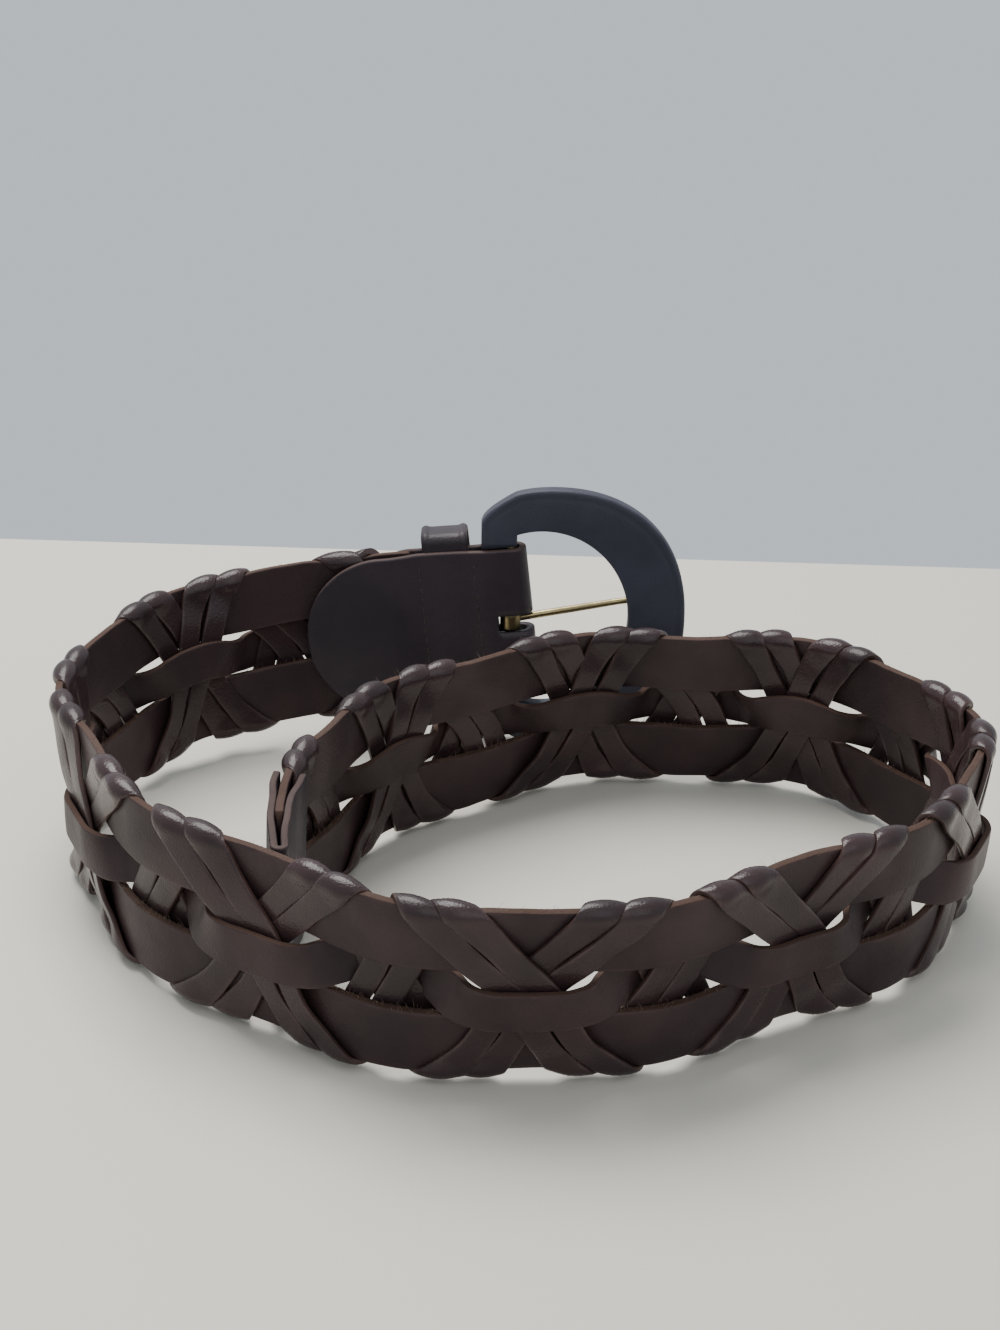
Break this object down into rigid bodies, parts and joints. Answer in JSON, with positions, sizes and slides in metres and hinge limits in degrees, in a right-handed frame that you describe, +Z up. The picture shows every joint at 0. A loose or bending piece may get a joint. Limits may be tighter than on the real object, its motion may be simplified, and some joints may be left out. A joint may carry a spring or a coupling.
{
  "type": "braided leather belt",
  "caption": "Wide leather belt of two flat straps, a weaving middle strap and paired thongs wound round them, with a covered D-shaped buckle, standing on its edge in an open spiral.",
  "frame": {"origin": "middle of the standing belt's box in plan, on the surface that it stands on", "axes": "+Z up, across the width of the strap. +X to the side that the buckle points to and +Y from the front run of the spiral towards the buckle end at the back"},
  "size_m": [0.2728, 0.2174, 0.0886],
  "materials": {
    "strap_leather": "dark brown grained leather, semi-gloss, raw tan edges",
    "thong_leather": "dark brown leather, slightly glossier than the straps, raw tan edges",
    "end_leather": "dark brown leather with stitch lines",
    "frame_leather": "thin blue-black leather drawn over the frame",
    "antique_brass": "darkened brass"
  },
  "bodies": {
    "strap": {"top_band": "strap_leather", "bottom_band": "strap_leather", "middle_strap": "strap_leather", "thong_a1": "thong_leather", "thong_a2": "thong_leather", "thong_b1": "thong_leather", "thong_b2": "thong_leather", "end_cover": "end_leather", "keeper_loop": "end_leather", "tip_tab": "end_leather"},
    "frame": {"buckle_frame": "frame_leather"},
    "prong": {"buckle_prong": "antique_brass"}
  },
  "joints": [
    {"name": "frame_hinge", "type": "hinge", "parent": "strap", "child": "frame", "pos_m": [-0.00109, 0.09531, 0.0443], "axis": [0, 0, 1], "range_deg": [-22, 45]},
    {"name": "prong_hinge", "type": "hinge", "parent": "frame", "child": "prong", "pos_m": [-0.00109, 0.09531, 0.04405], "axis": [0, 0, 1], "range_deg": [0, 60]}
  ]
}
